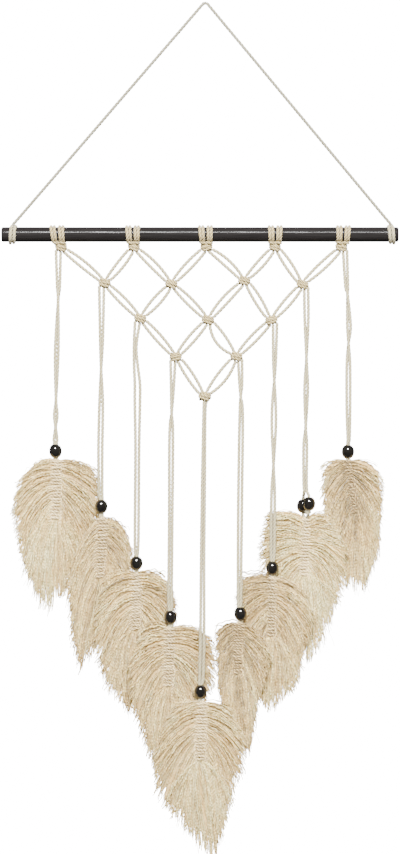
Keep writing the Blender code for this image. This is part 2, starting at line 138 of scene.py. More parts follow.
# Where cords enter and leave a knot, from the left: x and rise from its middle
KNOT_TOP = ((-5.4, 2.4), (-2.2, 4.4), (1.9, 4.4), (5.4, 2.4))
KNOT_FOOT = ((-5.3, -2.6), (-0.6, -4.2), (1.8, -4.2), (5.7, -2.4))
KNOT_ROWS = (
    ((-145.5, 244.6), (-72.0, 244.5), (1.2, 244.4), (70.2, 244.4), (137.4, 244.6)),
    ((-101.8, 280.8), (-34.3, 281.8), (39.3, 278.6), (98.2, 282.2)),
    ((-65.6, 316.6), (2.7, 318.2), (66.7, 318.2)),
    ((-29.8, 355.4), (31.4, 355.0)),
    ((-0.6, 395.2),),
)
# Middles of the lark's heads on the rod
GROUP_X = (-149.8, -73.4, 0.2, 70.6, 139.6)
# How far a link's upper and lower cords bow out from the straight line, and the
# lower cords of the slack links
UPPER_BOW = 1.6
LOWER_BOW = 1.2
SLACK_BOW = {(1, 1, -1): 2.2, (2, 1, 1): 5.4, (3, 0, 1): 1.4, (3, 1, -1): 3.8}
# How far both cords of some links sag, by the knot's row and column and the side
LINK_SAG = {
    (0, 0, 1): -0.4, (0, 1, 1): -0.6, (0, 1, -1): 0.7, (0, 2, 1): -1.3, (0, 3, -1): 0.7,
    (0, 4, -1): 0.5, (1, 3, -1): 0.5, (1, 2, -1): -0.8,
}
FIRST_KNOT_SIZE = 0.95
KNOT_FLIP_SHARE = 0.8
KNOT_TILT = (-0.14, 0.02)
KNOT_JITTER = 0.12
KNOT_CORE_X = (-1.4, 1.4)
KNOT_CORE_DROPS = (-5.4, -2.0, 2.0, 5.2)
# One working cord of a square knot: x, y, rise from the knot's middle
KNOT_OVER = (
    (-3.2, 0.0, 3.8), (-3.6, -1.8, 3.1), (-1.6, -3.1, 3.1), (1.8, -3.3, 2.2), (4.4, -1.9, 1.5),
    (4.9, 0.2, 0.8), (2.0, 2.9, 0.4), (-2.0, 2.9, 0.0), (-4.9, 0.4, -0.4), (-4.4, -1.9, -1.2),
    (-1.8, -3.3, -2.1), (1.4, -3.1, -3.0), (3.4, -1.8, -3.5), (3.6, 0.0, -3.8),
)
KNOT_UNDER = (
    (4.2, 0.4, 3.6), (4.2, 1.8, 2.8), (0.0, 3.1, 2.6), (-4.2, 1.8, 1.9), (-5.1, 0.0, 1.3),
    (-4.4, -1.9, 0.9), (-1.6, -3.9, 0.5), (1.6, -3.9, -0.2), (4.6, -1.9, -0.9), (5.1, 0.2, -1.4),
    (4.2, 1.8, -2.0), (0.0, 3.1, -2.6), (-4.2, 1.8, -3.0), (-4.5, 0.2, -3.7),
)

# Cord pairs from the net to the beads.  Columns: name, knot row, knot column,
# first foot place on the knot, bead x, bead drop
TAILS = (
    ("1", 0, 0, 0, -151.3, 450.6),
    ("2", 1, 0, 0, -105.1, 506.6),
    ("3", 2, 0, 0, -69.6, 563.8),
    ("4", 3, 0, 0, -35.3, 618.5),
    ("5", 4, 0, 1, -4.8, 693.7),
    ("6", 3, 1, 2, 35.6, 615.0),
    ("7", 2, 2, 2, 67.9, 568.9),
    ("8", 1, 3, 2, 101.4, 505.0),
    ("9", 0, 4, 2, 144.1, 451.3),
)
# How each pair twists on its way down.  Columns: drop, x of the pair's middle,
# spacing, turn in degrees
TWISTS = {
    "1": ((284.0, -148.3, 2.9, 25), (298.0, -148.6, 3.0, 90), (348.6, -150.0, 3.2, 180),
          (397.0, -150.8, 3.0, 270), (414.0, -151.0, 3.1, 360), (426.0, -151.2, 3.0, 450),
          (438.0, -151.3, 3.1, 540)),
    "2": ((337.5, -104.8, 2.9, 25), (367.0, -105.2, 3.0, 90), (402.0, -105.2, 3.3, 180),
          (450.0, -106.0, 3.8, 180), (492.0, -105.7, 3.1, 180)),
    "3": ((344.6, -70.8, 2.9, 35), (363.7, -70.1, 3.6, 0), (383.0, -68.6, 5.2, 0),
          (402.0, -68.6, 5.2, 0), (450.0, -68.7, 3.6, 0), (536.0, -69.3, 3.55, 0)),
    "4": ((387.0, -33.2, 2.9, 25), (412.0, -34.0, 3.0, 90), (434.5, -34.4, 3.4, 180),
          (520.0, -34.9, 3.1, 180), (596.0, -35.6, 3.1, 180)),
    "5": ((414.0, -0.9, 2.9, 55), (480.0, -1.8, 3.0, 32), (560.0, -2.7, 3.2, 20),
          (640.0, -3.1, 3.7, 5), (680.0, -4.0, 3.4, 8)),
    "6": ((383.0, 35.9, 2.9, 25), (396.0, 35.8, 3.0, 90), (415.3, 36.3, 3.1, 180),
          (500.0, 35.2, 3.6, 180), (600.0, 34.5, 2.9, 180)),
    "7": ((358.7, 70.0, 2.9, 25), (380.0, 69.7, 3.0, 90), (402.0, 69.4, 3.3, 180),
          (428.0, 69.2, 3.9, 180), (466.0, 68.9, 3.0, 270), (494.0, 68.5, 3.3, 360),
          (548.0, 68.1, 3.3, 360)),
    "8": ((319.0, 102.3, 3.6, 0), (357.7, 102.2, 3.0, 90), (389.0, 101.9, 3.3, 180),
          (426.4, 101.4, 3.0, 270), (444.0, 101.0, 3.2, 360), (478.0, 100.8, 3.0, 360),
          (487.0, 101.0, 2.9, 360), (491.5, 101.3, 3.0, 360)),
    "9": ((284.0, 142.8, 2.9, 25), (293.0, 143.7, 3.0, 90), (324.3, 145.2, 3.3, 180),
          (342.5, 144.7, 3.0, 270), (364.0, 144.6, 3.3, 360), (409.0, 144.6, 3.3, 360),
          (437.5, 144.8, 3.0, 410)),
}
SPLIT_TAIL = "8"
SPLIT_BEADS = (("back", 99.0, 5.9, 506.4), ("front", 104.6, -5.9, 503.7))
NECK_OFFSET = 1.1
TAIL_SINK = 0.5
# A turn of cord ties the parted pair under its front bead: x, y, drop
COIL_PLACE = (103.6, -4.0, 510.6)
COIL_RADIUS = 2.3
COIL_HEIGHT = 3.4
COIL_TURNS = 1.8
COIL_STEPS = 16
COIL_CORD = 2.3

# Beads
BEAD_DIAMETER = 12.7
BEAD_HEIGHT = 13.6
BEAD_SIDES = 40
BEAD_STEPS = 22
BEAD_SQUARENESS = 2.25
BORE_SHARE = 0.42
BORE_STEP_IN = 0.4
BORE_DEPTH = 0.5

# Fringes.  Columns of the spines: name, top x, top drop, length, lean (x per
# unit drop), plane: 1 has the right edge back, -1 the left, 0 both forward
SPINES = (
    ("1", -150.3, 459.7, 60.0, -0.01, 1),
    ("2", -103.3, 518.3, 61.0, -0.055, 1),
    ("3", -69.5, 574.3, 57.0, -0.01, 1),
    ("4", -36.2, 629.4, 59.0, -0.01, 1),
    ("5", -3.3, 704.2, 59.0, -0.034, 0),
    ("6", 34.0, 623.9, 52.0, -0.03, -1),
    ("7", 68.1, 578.2, 60.0, -0.03, -1),
    ("8", 102.2, 518.6, 58.0, -0.035, -1),
    ("9", 144.6, 460.2, 53.0, 0.13, -1),
)
# Outline that the lock tips reach, as x and drop of five points down each side,
# from the shoulder to the lowest
TIP_OUTLINES = {
    ("1", -1): ((-173, 465.8), (-190, 483), (-195.3, 513), (-185, 560), (-165, 609)),
    ("1", 1): ((-108, 474), (-104.8, 490), (-106.5, 522), (-124, 578), (-149, 603)),
    ("2", -1): ((-134, 570), (-138.5, 600), (-134.8, 626), (-128.8, 648), (-127.5, 665.5)),
    ("2", 1): ((-79.1, 534.4), (-73.5, 553), (-73, 573), (-90, 620), (-121.5, 664.5)),
    ("3", -1): ((-102.3, 584), (-111.5, 612), (-110, 655), (-97.5, 688), (-80.5, 709)),
    ("3", 1): ((-40, 580.5), (-29.5, 600), (-27.5, 618), (-38, 665), (-74, 709)),
    ("4", -1): ((-64.9, 634.4), (-78.5, 668), (-73, 714), (-58, 748), (-51, 772)),
    ("4", 1): ((-4, 634), (8.5, 642), (11.5, 665), (9, 692), (-43, 772)),
    ("5", -1): ((-35.7, 711.2), (-52.5, 760), (-50.5, 797), (-24.3, 829), (3, 857)),
    ("5", 1): ((29, 716.3), (41.5, 745), (38.5, 775), (24.8, 806), (10, 857)),
    ("6", -1): ((9, 636), (12, 664), (13, 690), (20, 722), (36, 750)),
    ("6", 1): ((61.3, 646.6), (66.9, 661.7), (57, 692), (50, 722), (44, 755)),
    ("7", -1): ((34.5, 581.5), (30, 601), (31.5, 622), (44, 665), (60, 708.5)),
    ("7", 1): ((101.7, 598.1), (110.8, 618.3), (99.3, 655), (91.5, 687), (69, 709.5)),
    ("8", -1): ((62, 515.5), (56, 535), (53.6, 562), (66, 608), (99, 658)),
    ("8", 1): ((124.5, 516.5), (143.5, 550), (141.5, 585), (127, 619), (107.5, 657)),
    ("9", -1): ((116.5, 469.5), (117.5, 490), (120, 515), (131, 558), (143.5, 587.5)),
    ("9", 1): ((174, 468), (180.5, 484), (177.6, 520), (173.2, 556), (159, 592)),
}
# Power of the place down a spine that gives a lock's place on the outline:
# above 1 the upper locks run out flatter, below 1 they fall more steeply
TIP_GATHER = {("8", -1): 1.7, ("8", 1): 1.2, ("9", -1): 0.75, ("9", 1): 0.75}
SPINE_ROWS = 19
SPINE_CORD = 3.0
# Distance of the yarn's roots from the spine's middle
YARN_ROOT = 2.4
# Degrees that yarn leaves its root above the line to its tip
ROOT_SPLAY = 20.0
ROOT_SPLAYS = {("1", 1): 4.0, ("3", 1): 12.0, ("4", 1): 12.0, ("5", -1): 15.0, ("5", 1): 15.0,
               ("6", -1): 22.0, ("6", 1): 8.0, ("7", -1): 11.0, ("9", -1): 7.0, ("9", 1): 9.0}
# Degrees more that level yarn leaves above that line and ends below it
DROOP = 22.0
# Slope of a fringe's back edge out of the picture plane
FAN_SLOPE = 0.25
# Kinds of yarn in a fringe.  Columns: strands, rings, radius at the root,
# radius at the tip, crimp height, crimp length
YARNS = (
    (360, 15, 0.76, 0.50, 0.6, 7.5),
    (700, 8, 0.38, 0.24, 0.3, 9.0),
)
# How far strands reach along their ribs: mean and spread of a lock's reach, share
# of short strands, range of their reach, mean and spread of the others' reach
SIDE_REACH = ((0.995, 0.018), 0.22, (0.62, 0.98), (0.99, 0.03))
FOOT_REACH = ((1.0, 0.06), 0.25, (0.6, 0.96), (1.01, 0.045))
# Spread of a lock's strands in rows, and its shares at the root and added at the tip
LOCK_SPREAD = 0.8
SIDE_SPREAD = (0.35, 1.0)
# Share of the strands that hang out of the spine's foot
FOOT_SHARE = 0.26
# Share of the outline that the foot's strands fan over on each side
FOOT_FAN = 0.42
FOOT_FAN_POWER = 1.3
# Share of the foot's strands that run to between the two sides' lowest tips
FOOT_BLEND = 0.36
# Waves that strands drift in: slow and wide, then quicker ones
SLOW_DRIFT = (0.8, 2.6)
QUICK_DRIFTS = (7.0, 15.0)
QUICK_DRIFT = 0.6
DRIFT_GAIN = 1.2
STRAY_SHARE = 0.05
STRAY_GAIN = 3.0
ROOT_SHIFT = 1.2
# Half the thickness of the yarn, at its ends and added in the middle
BULK = (2.1, 1.0)
LAYER_Y = 0.5
LAYER_SPREAD = 0.75
STRAND_SIZES = (0.75, 1.2)
# Tone of the yarn, 0 to 1, darker deep down as painted shade and lighter on top as painted light:
# deep down, added on top, and spread by strand and lock
DEEP_SHADED_TONE = 0.31
TOP_LIT_TONE = 0.42
STRAND_TONE_SPREAD = 0.19
LOCK_TONE_SPREAD = 0.05
DAPPLE = 0.15
DAPPLE_LENGTHS = (14.0, 34.0)
# More than a fringe's locks, so that each has its own draw
LOCK_DRAWS = 100
# Looks of the fringes.  Columns: how much darker yarn and spine are, how much lighter
# all yarn is, the strands below the spine, and tips than roots, and spine width
LOOKS = {
    "1": (0.0, 0.0, 0.3, 0.2, 1.0),
    "2": (0.1, -0.06, -0.05, 0.2, 1.0),
    "3": (0.04, 0.0, 0.0, 0.2, 0.85),
    "4": (0.06, 0.0, 0.0, 0.2, 1.0),
    "5": (0.0, 0.0, 0.3, 0.2, 1.15),
    "6": (0.22, -0.06, 0.0, 0.45, 1.0),
    "7": (0.12, 0.0, 0.22, 0.35, 0.76),
    "8": (-0.06, 0.16, 0.1, 0.2, 0.8),
    "9": (0.26, 0.1, 0.0, 0.9, 0.42),
}
# Length of a crimp, and the slower dark streaks along a strand
CRIMP_LENGTH = 3.2
STREAK_RATE = 0.27
STREAK_LIFT = 0.6
# The felted mass under the strands: its reach, and its thickness at the root, in
# the middle and at the tip
MASS_REACH = 0.955
MASS_FOOT_REACH = 0.94
MASS_THICKNESS = (1.5, 1.1, 0.2)
MASS_RINGS = 9
MASS_SIDES = 6
MASS_OVERLAP = 0.75
MASS_FOOT_LOCKS = 5
MASS_FOOT_OVERLAP = 0.2
MASS_NARROWING = 0.9
MASS_NARROW_POWER = 7
MASS_REACHES = (0.92, 1.0)
# Low tones of the mass's locks at the sides and at the foot: painted shade under the strands
MASS_SHADED_TONES = (0.2, 0.4)
MASS_FOOT_SHADED_TONES = (0.2, 0.35)
FOOT_LOCKS = 9
# The cord of one spine row, across the front to its turn at the far side: x, y
BAR = ((-4.6, -1.9), (-1.8, -2.7), (0.6, -3.1), (3.0, -3.1), (4.7, -1.9), (5.0, 0.0))
# Where it comes out of the yarn, as places out along the rib, and how deep
BAR_RUN_IN = ((0.16, -1.6), (0.08, -2.0))
BAR_TAPER = 9.0
BAR_TILT = (0.06, 0.06)
BAR_JITTER = 0.25
BAR_SIZES = (0.85, 1.08)
BAR_SHADES = (-0.1, 0.2)
SPINE_SHADE_GAIN = 2.0
SPINE_CORE_X = (-1.1, 1.1)
SPINE_CORE_ENDS = (2.0, 4.0)

# Plies of a cord: radius at the points round one ply, from crease to crease, the
# number of plies, and the length of a full turn in diameters
PLY_FINE = (0.74, 0.93, 1.0, 0.93)
PLY_COARSE = (0.78, 0.99, 0.99)
PLIES = 3
LAY = 3.6
ROPE_END = 0.35
TAPERED_END = 0.3


def at(x, y, drop):
    """The point at a place given in millimetres."""
    return np.array((x, y, -drop))


def distances(points):
    """How far along its path each point is."""
    steps = np.linalg.norm(np.diff(points, axis=-2), axis=-1)
    return np.concatenate((np.zeros_like(steps[..., :1]), np.cumsum(steps, axis=-1)), axis=-1)


def smooth(points, step):
    """Evenly spaced points along a curve through the given ones."""
    p = np.asarray(points, dtype=float)
    p = np.vstack((2 * p[0] - p[1], p, 2 * p[-1] - p[-2]))
    t = np.linspace(0.0, 1.0, 10, endpoint=False)[:, None]
    runs = []
    for a, b, c, d in zip(p[:-3], p[1:-2], p[2:-1], p[3:]):
        bend = 2 * a - 5 * b + 4 * c - d + t * (3 * (b - c) + d - a)
        runs.append(b + 0.5 * t * (c - a + t * bend))
    curve = np.vstack(runs + [p[-2:-1]])
    lengths = distances(curve)
    stations = np.linspace(0.0, lengths[-1], max(4, int(lengths[-1] / step) + 1))
    return np.column_stack([np.interp(stations, lengths, curve[:, k]) for k in range(3)])


def unit(vectors):
    return vectors / np.maximum(np.linalg.norm(vectors, axis=-1, keepdims=True), 1e-9)


def add_object(name, data):
    item = bpy.data.objects.new(name, data)
    bpy.context.scene.collection.objects.link(item)
    return item


class Tubes:
    """Collects tubes into one mesh that holds a tone, crimp and streak at each point."""

    def __init__(self):
        self.points = []
        self.quads = []
        self.values = {"tone": [], "crimp": [], "streak": []}
        self.count = 0

    def add(self, rings, **values):
        """Skin tubes given as an array of tube, ring, corner and coordinate."""
        tubes, length, sides = rings.shape[:3]
        index = np.arange(tubes * length * sides).reshape(tubes, length, sides) + self.count
        beside = np.roll(index, -1, axis=2)
        quads = np.stack((index[:, :-1], beside[:, :-1], beside[:, 1:], index[:, 1:]), axis=-1)
        self.points.append(rings.reshape(-1, 3))
        self.quads.append(quads.reshape(-1, 4))
        for key, kept in self.values.items():
            kept.append(np.broadcast_to(values.get(key, 0.0), rings.shape[:3]).reshape(-1))
        self.count += index.size

    def rope(self, path, diameter, profile=PLY_COARSE, start=0.0, taper=0.0, shade=0.0):
        """A plied cord along a path, rounded off or tapered at its ends."""
        tangents = unit(np.gradient(path, axis=0))
        normal = np.cross(tangents[0], (0.3, 1.0, 0.2))
        normals = []
        for tangent in tangents:
            normal = normal - tangent * normal.dot(tangent)
            normal /= np.linalg.norm(normal)
            normals.append(normal)
        normals = np.array(normals)
        sides = np.cross(tangents, normals)
        shape = np.array(profile * PLIES)
        travelled = distances(path)
        turn = math.tau * np.arange(len(shape)) / len(shape)
        turns = start + turn + math.tau * travelled[:, None] / (LAY * diameter)
        radii = 0.5 * diameter * np.ones(len(path))
        radii[[0, -1]] *= ROPE_END
        if taper:
            inside = np.minimum(travelled, travelled[-1] - travelled)
            radii *= np.minimum(1.0, TAPERED_END + inside / taper)
        reach = (radii[:, None] * shape)[..., None]
        rings = path[:, None] + reach * (
            normals[:, None] * np.cos(turns)[..., None] + sides[:, None] * np.sin(turns)[..., None])
        # Tone follows the ply's profile and is lowest in the creases between plies: painted shade
        # there.
        tones = (shape - shape.min()) / (shape.max() - shape.min()) - shade
        self.add(rings[None], tone=tones)

    def fibres(self, paths, radii, tones, crimps, rng):
        """Three-sided strands along paths: arrays of strand, ring, coordinate."""
        tangents = unit(np.gradient(paths, axis=1))
        sides = unit(np.cross(tangents, (0.0, 1.0, 0.0)))
        ups = np.cross(sides, tangents)
        phase = rng.uniform(0.0, math.tau, len(paths))
        turns = phase[:, None] + math.tau * np.arange(3) / 3
        across = np.cos(turns)[:, None, :, None] * sides[:, :, None]
        over = np.sin(turns)[:, None, :, None] * ups[:, :, None]
        rings = paths[:, :, None] + radii[:, :, None, None] * (across + over)
        streaks = rng.uniform(0.0, math.tau, (len(paths), 1, 1))
        self.add(rings, tone=tones[:, :, None], crimp=crimps[:, :, None], streak=streaks)

    def finish(self, name, material, slot, node):
        """Put the mesh in the scene in place of a CAD node."""
        points = np.vstack(self.points) * MM
        quads = np.vstack(self.quads)
        mesh = bpy.data.meshes.new(name)
        mesh.from_pydata(points.tolist(), [], quads.tolist())
        for key, kept in self.values.items():
            attribute = mesh.attributes.new(key, "FLOAT", "POINT")
            attribute.data.foreach_set("value", np.concatenate(kept).astype(np.float32))
        mesh.shade_smooth()
        mesh.materials.append(material)
        item = add_object(name, mesh)
        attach(item, "root")
        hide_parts(node)


# Materials


class Shader:
    """Short forms for building a material's nodes."""

    def __init__(self, name):
        self.material = bpy.data.materials.new(name)
        self.material.use_nodes = True
        self.tree = self.material.node_tree
        self.surface = self.tree.nodes["Principled BSDF"]

    def node(self, kind, **values):
        made = self.tree.nodes.new(kind)
        for key, value in values.items():
            setattr(made, key, value)
        return made

    def link(self, source, target):
        self.tree.links.new(source, target)

    def settle(self, **sockets):
        for key, value in sockets.items():
            self.surface.inputs[key.replace("_", " ")].default_value = value

    def noise(self, scale, detail, stretch=(1.0, 1.0, 1.0)):
        source = self.node("ShaderNodeTexCoord")
        mapping = self.node("ShaderNodeMapping")
        mapping.inputs["Scale"].default_value = stretch
        texture = self.node("ShaderNodeTexNoise")
        texture.inputs["Scale"].default_value = scale
        texture.inputs["Detail"].default_value = detail
        self.link(source.outputs["Object"], mapping.inputs["Vector"])
        self.link(mapping.outputs["Vector"], texture.inputs["Vector"])
        return texture.outputs["Fac"]

    def ramp(self, value, *stops):
        """Colours along a value; a stop is its place and its colour."""
        ramp = self.node("ShaderNodeValToRGB")
        elements = ramp.color_ramp.elements
        while len(elements) < len(stops):
            elements.new(0.5)
        for element, (where, colour) in zip(elements, stops):
            element.position = where
            element.color = (*colour, 1.0)
        self.link(value, ramp.inputs["Fac"])
        return ramp.outputs["Color"]

    def darken(self, colour, value, low, high, dark):
        """A colour, times a dark one where the value is low and white where it's high."""
        mix = self.node("ShaderNodeMix", data_type="RGBA", blend_type="MULTIPLY")
        mix.inputs["Factor"].default_value = 1.0
        self.link(colour, mix.inputs[6])
        self.link(self.ramp(value, (low, dark), (high, (1.0, 1.0, 1.0))), mix.inputs[7])
        return mix.outputs[2]

    def compute(self, operation, *values):
        """Arithmetic on sockets and plain numbers."""
        made = self.node("ShaderNodeMath", operation=operation)
        for value, socket in zip(values, made.inputs):
            if isinstance(value, float):
                socket.default_value = value
            else:
                self.link(value, socket)
        return made.outputs[0]

    def attribute(self, name):
        return self.node("ShaderNodeAttribute", attribute_name=name).outputs["Fac"]

    def bump(self, height, distance, strength):
        bump = self.node("ShaderNodeBump")
        bump.inputs["Distance"].default_value = distance
        bump.inputs["Strength"].default_value = strength
        self.link(height, bump.inputs["Height"])
        self.link(bump.outputs["Normal"], self.surface.inputs["Normal"])

    def colour(self, source):
        self.link(source, self.surface.inputs["Base Color"])


def cord_material(name, crease, flank, crest):
    """Plied cotton, with painted shade in the creases between plies and hairy variation."""
    shader = Shader(name)
    shader.settle(Roughness=0.88, Sheen_Weight=0.25, Sheen_Roughness=0.5, Specular_IOR_Level=0.25)
    # The dark crease colour where the tone is low is painted shade between the plies.
    plies = shader.ramp(shader.attribute("tone"), (0.0, crease), (0.45, flank), (1.0, crest))
    hairs = shader.noise(2600.0, 4.0)
    patches = shader.noise(130.0, 2.0)
    flecked = shader.darken(plies, hairs, 0.3, 0.7, (0.80, 0.79, 0.77))
    shader.colour(shader.darken(flecked, patches, 0.35, 0.65, (0.93, 0.91, 0.88)))
    shader.bump(hairs, 0.0003, 0.5)
    return shader.material


def fringe_material():
    """Brushed cotton, from golden beige at a low tone to cream at a high one: painted shade deep
    down and painted light on top.
    """
    shader = Shader("brushed cotton")
    shader.settle(Roughness=0.82, Sheen_Weight=0.3, Sheen_Roughness=0.45, Specular_IOR_Level=0.3)
    strands = shader.ramp(
        shader.attribute("tone"),
        (0.0, (0.31, 0.235, 0.115)),
        (0.35, (0.76, 0.56, 0.26)),
        (0.7, (1.0, 0.80, 0.38)),
        (1.0, (1.0, 0.91, 0.505)),
    )
    crimp = shader.attribute("crimp")
    streak = shader.compute("MULTIPLY_ADD", crimp, STREAK_RATE, shader.attribute("streak"))
    swell = shader.compute("ADD", shader.compute("SINE", streak), STREAK_LIFT)
    patches = shader.noise(55.0, 3.0)
    hairs = shader.noise(620.0, 3.0)
    ridges = shader.node("ShaderNodeMapRange")
    ridges.inputs["From Min"].default_value = -1.0
    shader.link(shader.compute("SINE", crimp), ridges.inputs["Value"])
    height = ridges.outputs["Result"]
    streaked = shader.darken(strands, swell, 0.0, 0.6, (0.72, 0.70, 0.62))
    drifted = shader.darken(streaked, patches, 0.35, 0.65, (0.94, 0.88, 0.79))
    flecked = shader.darken(drifted, hairs, 0.35, 0.6, (0.70, 0.66, 0.55))
    # Darker in the crimp's troughs, whose height also drives the bump: painted shade between the
    # crimps.
    shader.colour(shader.darken(flecked, height, 0.0, 0.6, (0.72, 0.67, 0.55)))
    shader.bump(height, 0.0006, 0.6)
    return shader.material


def rod_material():
    """Satin black paint over fine wood grain along the rod."""
    shader = Shader("satin black paint")
    shader.settle(Specular_IOR_Level=0.055)
    grain = shader.noise(900.0, 3.0, stretch=(0.04, 1.0, 1.0))
    paint = shader.ramp(grain, (0.3, (0.0085, 0.0075, 0.0075)), (0.75, (0.015, 0.0135, 0.013)))
    shader.colour(paint)
    rough = shader.ramp(grain, (0.2, (0.16, 0.16, 0.16)), (0.8, (0.24, 0.24, 0.24)))
    shader.link(rough, shader.surface.inputs["Roughness"])
    shader.bump(grain, 0.0002, 0.25)
    return shader.material


def bead_material():
    """Glossy black with the faint ripple of dipped lacquer."""
    shader = Shader("gloss black lacquer")
    shader.settle(Specular_IOR_Level=0.55, Coat_Weight=0.6, Coat_Roughness=0.05)
    ripple = shader.noise(160.0, 2.0)
    lacquer = shader.ramp(ripple, (0.3, (0.004, 0.0035, 0.003)), (0.7, (0.008, 0.007, 0.006)))
    shader.colour(lacquer)
    rough = shader.ramp(ripple, (0.3, (0.09, 0.09, 0.09)), (0.7, (0.16, 0.16, 0.16)))
    shader.link(rough, shader.surface.inputs["Roughness"])
    shader.bump(ripple, 0.0004, 0.12)
    return shader.material


# Hard pieces


def lathe(name, profile, axis, centre, sides, material, slot, node):
    """Turn a profile of (along, radius) round X or Z."""
    turns = math.tau * np.arange(sides) / sides
    along, radius = np.array(profile).T
    across = radius[:, None] * np.cos(turns)
    up = radius[:, None] * np.sin(turns)
    run = np.broadcast_to(along[:, None], across.shape)
    order = (run, across, up) if axis == "x" else (across, up, run)
    tube = Tubes()
    tube.add((np.stack(order, axis=-1) + centre)[None])
    tube.finish(name, material, slot, node)


def build_rod(material):
    radius = 0.5 * ROD_DIAMETER
    half = 0.5 * ROD_LENGTH
    end = [(half, share * (radius - ROD_EDGE_RADIUS)) for share in ROD_END_SHARES]
    for angle in np.linspace(0.0, 0.5 * math.pi, ROD_EDGE_STEPS):
        end.append((half - ROD_EDGE_RADIUS * (1.0 - math.cos(angle)),
                    radius - ROD_EDGE_RADIUS * (1.0 - math.sin(angle))))
    band = np.linspace(-half + ROD_BAND, half - ROD_BAND, ROD_BAND_STEPS)
    profile = [(-x, reach) for x, reach in end] + [(x, radius) for x in band] + end[::-1]
    lathe("painted_rod", profile, "x", at(ROD_MIDDLE_X, 0.0, ROD_DROP), ROD_SIDES, material,
          "rod", "rod")


def build_bead(name, x, y, drop, material):
    """An egg-round bead whose profile runs out and back through its bore."""
    profile = []
    bore = BORE_SHARE * 0.5 * BEAD_DIAMETER
    limit = math.acos((bore / (0.5 * BEAD_DIAMETER)) ** (BEAD_SQUARENESS / 2.0))
    for angle in np.linspace(-limit, limit, BEAD_STEPS):
        level = math.copysign(abs(math.sin(angle) / math.sin(limit)), angle)
        radius = 0.5 * BEAD_DIAMETER * math.cos(angle) ** (2.0 / BEAD_SQUARENESS)
        profile.append((0.5 * BEAD_HEIGHT * level, radius))
    inside = bore - BORE_STEP_IN
    profile += [(profile[-1][0] - BORE_DEPTH, inside), (profile[0][0] + BORE_DEPTH, inside),
                profile[0]]
    lathe("lacquered_" + name, profile, "z", at(x, y, drop), BEAD_SIDES, material, "bead", name)


def build_beads(material):
    for name, _, _, _, x, drop in TAILS:
        if name == SPLIT_TAIL:
            for letter, split_x, y, split_drop in SPLIT_BEADS:
                build_bead("bead_" + name + "_" + letter, split_x, y, split_drop, material)
        else:
            build_bead("bead_" + name, x, 0.0, drop, material)


# Cords


def hanger_side(side):
    """Turns round one end of the rod, up to where the cord leaves it."""
    radius = 0.5 * (ROD_DIAMETER + HANGER_CORD) - WRAP_SINK
    points = []
    for k in range(HANGER_STEPS + 1):
        degrees = HANGER_LEAVE_ANGLE - HANGER_WRAP * (1.0 - k / HANGER_STEPS)
        turn = math.radians(degrees)
        climb = max(0.0, degrees - HANGER_CLIMB_ANGLE) / (HANGER_LEAVE_ANGLE - HANGER_CLIMB_ANGLE)
        x = HANGER_TURN_PITCH * (degrees + 180.0) / 360.0 - HANGER_RETURN * climb ** 2
        reach = radius + HANGER_LIFT * climb * (2.0 - climb)
        points.append(at(HANGER_FRONT_X[side] + side * x, reach * math.cos(turn),
                         ROD_DROP - reach * math.sin(turn)))
    return points


def build_hanger(material, wrap_material):
    """The cord from end to end over the nail, then its turns and hitches."""
    apex_drop = HANGER_APEX_RADIUS - 0.5 * HANGER_CORD
    arc = []
    for degrees in HANGER_APEX_DEGREES:
        turn = math.radians(degrees)
        arc.append(at(HANGER_APEX_RADIUS * math.cos(turn), 0.0,
                      apex_drop - HANGER_APEX_RADIUS * math.sin(turn)))
    left, right = hanger_side(-1), hanger_side(1)
    rising = []
    for foot, top in ((left[-1], arc[0]), (right[-1], arc[-1])):
        rising.append([foot + (top - foot) * share for share in HANGER_RISE_SHARES])
    cord = Tubes()
    whole = left[-3:] + rising[0] + arc + rising[1][::-1] + right[:-4:-1]
    cord.rope(smooth(whole, TURN_STEP), HANGER_CORD)
    cord.finish("plied_hanging_cord", material, "cord", "hanging_cord")
    turns = Tubes()
    for points, side in ((left, -1), (right, 1)):
        turns.rope(smooth(points[:-2], TURN_STEP), HANGER_CORD)
        back = 0.5 * (points[0] + points[-3]) + np.array((0.0, HITCH_Y, 0.0))
        hitch = [back + np.array((side * x, y, rise)) for x, y, rise in HITCH]
        turns.rope(smooth(hitch, KNOT_STEP), HITCH_CORD, PLY_FINE)
    turns.finish("plied_end_turns", wrap_material, "cord", "hanging_cord")


def knot_port(row, column, ports, index):
    x, drop = KNOT_ROWS[row][column]
    shift, rise = ports[index]
    return at(x + shift, 0.0, drop - rise)


def bezier(a, b, c, d, t):
    s = 1.0 - t
    return a * s ** 3 + b * (3 * s * s * t) + c * (3 * s * t * t) + d * t ** 3


def link_path(start, finish, bow):
    """A cord from knot to knot that bows sideways in the picture plane."""
    along = finish - start
    sideways = unit(np.array((along[2], 0.0, -along[0]))) * bow * 4.0 / 3.0
    t = np.linspace(0.0, 1.0, 9)[:, None]
    return bezier(start, start + along / 3 + sideways, finish - along / 3 + sideways, finish, t)


def add_links(yarn, rng):
    """Two cords from each knot to those below it on the left and right."""
    for row, columns in enumerate(KNOT_ROWS[:-1]):
        for column in range(len(columns)):
            for side in (-1, 1):
                target = column if side > 0 else column - 1
                if not 0 <= target < len(KNOT_ROWS[row + 1]):
                    continue
                outer, inner = (3, 2) if side > 0 else (0, 1)
                far_outer, far_inner = (1, 0) if side > 0 else (2, 3)
                sag = LINK_SAG.get((row, column, side), 0.0)
                slack = SLACK_BOW.get((row, column, side), LOWER_BOW) + sag
                upper = (outer, far_outer, sag - UPPER_BOW)
                lower = (inner, far_inner, slack)
                for near, far, bow in (upper, lower):
                    start = knot_port(row, column, KNOT_FOOT, near)
                    finish = knot_port(row + 1, target, KNOT_TOP, far)
                    path = smooth(link_path(start, finish, side * bow), RUN_STEP)
                    yarn.rope(path, NET_CORD, start=rng.uniform(0.0, math.tau))


